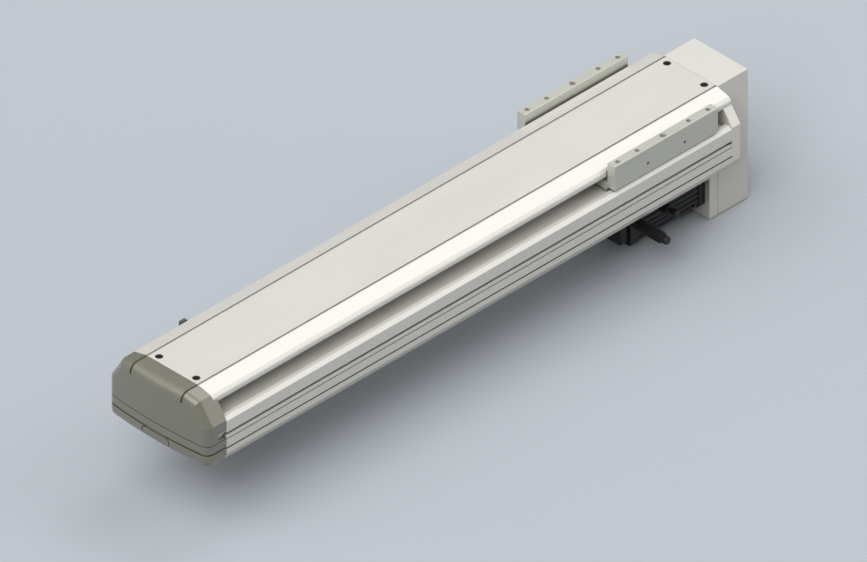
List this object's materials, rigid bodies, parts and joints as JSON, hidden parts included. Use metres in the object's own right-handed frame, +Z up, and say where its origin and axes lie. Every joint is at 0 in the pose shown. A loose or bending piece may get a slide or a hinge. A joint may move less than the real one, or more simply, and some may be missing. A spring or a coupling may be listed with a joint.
{
  "type": "linear module",
  "caption": "Electric linear module: covered ball screw axis with a hollow aluminium base, a carriage with two lugs and a motor folded under its end by a belt.",
  "frame": {"origin": "centre of the base extrusion's flat underside", "axes": "+X across the base, to the side of the motor's leads; +Y along the travel, towards the belt housing; +Z up, from the mounting face to the ears"},
  "size_m": [0.1535, 0.7703, 0.1558],
  "materials": {
    "body_aluminium": "satin anodised",
    "ear_aluminium": "machined and anodised",
    "cap_plastic": "moulded, olive grey",
    "block_aluminium": "machined",
    "track_steel": "ground",
    "bearing_steel": "ground bearing steel",
    "screw_steel": "ground",
    "fastener_black": "black oxide",
    "fastener_zinc": "zinc plated",
    "seal_rubber": "moulded",
    "cap_black": "moulded",
    "motor_black": "black powder coat",
    "motor_plastic": "moulded, black",
    "lead_black": "black cable jacket",
    "pulley_aluminium": "hard anodised",
    "belt_rubber": "black timing belt",
    "sensor_plastic": "moulded, dark grey"
  },
  "bodies": {
    "base": {"base_extrusion": "body_aluminium", "guide_track_left": "track_steel", "guide_track_right": "track_steel", "top_cover": "body_aluminium", "cover_screws": "fastener_black", "front_cap": "cap_plastic", "cap_screws": "fastener_zinc", "front_end_block": "block_aluminium", "front_block_screws": "fastener_black", "front_bearing_outer": "bearing_steel", "front_stopper": "seal_rubber", "rear_stopper": "seal_rubber", "rear_bearing_block": "block_aluminium", "bearing_block_screws": "fastener_black", "rear_bearing_outers": "bearing_steel", "end_plate": "body_aluminium", "end_plate_screws": "fastener_black", "belt_housing": "body_aluminium", "housing_screws": "fastener_black", "timing_belt": "belt_rubber", "motor_flange": "motor_black", "motor_body": "motor_black", "motor_rear_housing": "motor_black", "encoder_cap": "motor_plastic", "motor_screws": "fastener_black", "power_lead_outlet": "lead_black", "power_connector": "motor_plastic", "encoder_lead_outlet": "lead_black", "encoder_connector": "motor_plastic", "limit_sensor": "sensor_plastic", "sensor_bracket": "fastener_zinc", "sensor_screws": "fastener_zinc", "sensor_slot_nut": "fastener_zinc"},
    "carriage": {"carriage_block": "bearing_steel", "end_cap_front": "cap_black", "end_cap_rear": "cap_black", "end_seals": "seal_rubber", "ball_nut": "bearing_steel", "nut_screws": "fastener_black", "left_ear": "ear_aluminium", "right_ear": "ear_aluminium", "ear_screws": "fastener_black", "sensor_target": "fastener_zinc", "target_screws": "fastener_zinc"},
    "screw": {"ball_screw": "screw_steel", "front_bearing_inner": "bearing_steel", "rear_bearing_inners": "bearing_steel", "bearing_lock_nut": "fastener_black", "screw_pulley": "pulley_aluminium"},
    "rotor": {"motor_shaft": "screw_steel", "motor_pulley": "pulley_aluminium"}
  },
  "joints": [
    {"name": "carriage_slide", "type": "slide", "parent": "base", "child": "carriage", "axis": [0, 1, 0], "range_m": [-0.508, 0.008]},
    {"name": "screw_turn", "type": "hinge", "parent": "base", "child": "screw", "pos_m": [0, 0, 0.0279], "axis": [0, 1, 0], "range_deg": [-289, 18290]},
    {"name": "rotor_turn", "type": "hinge", "parent": "base", "child": "rotor", "pos_m": [0, 0.34, -0.0321], "axis": [0, 1, 0], "range_deg": [-289, 18290]}
  ],
  "couplings": [
    {"joint": "screw_turn", "follows": "carriage_slide", "rad_per_m": -628.32},
    {"joint": "rotor_turn", "follows": "carriage_slide", "rad_per_m": -628.32}
  ]
}
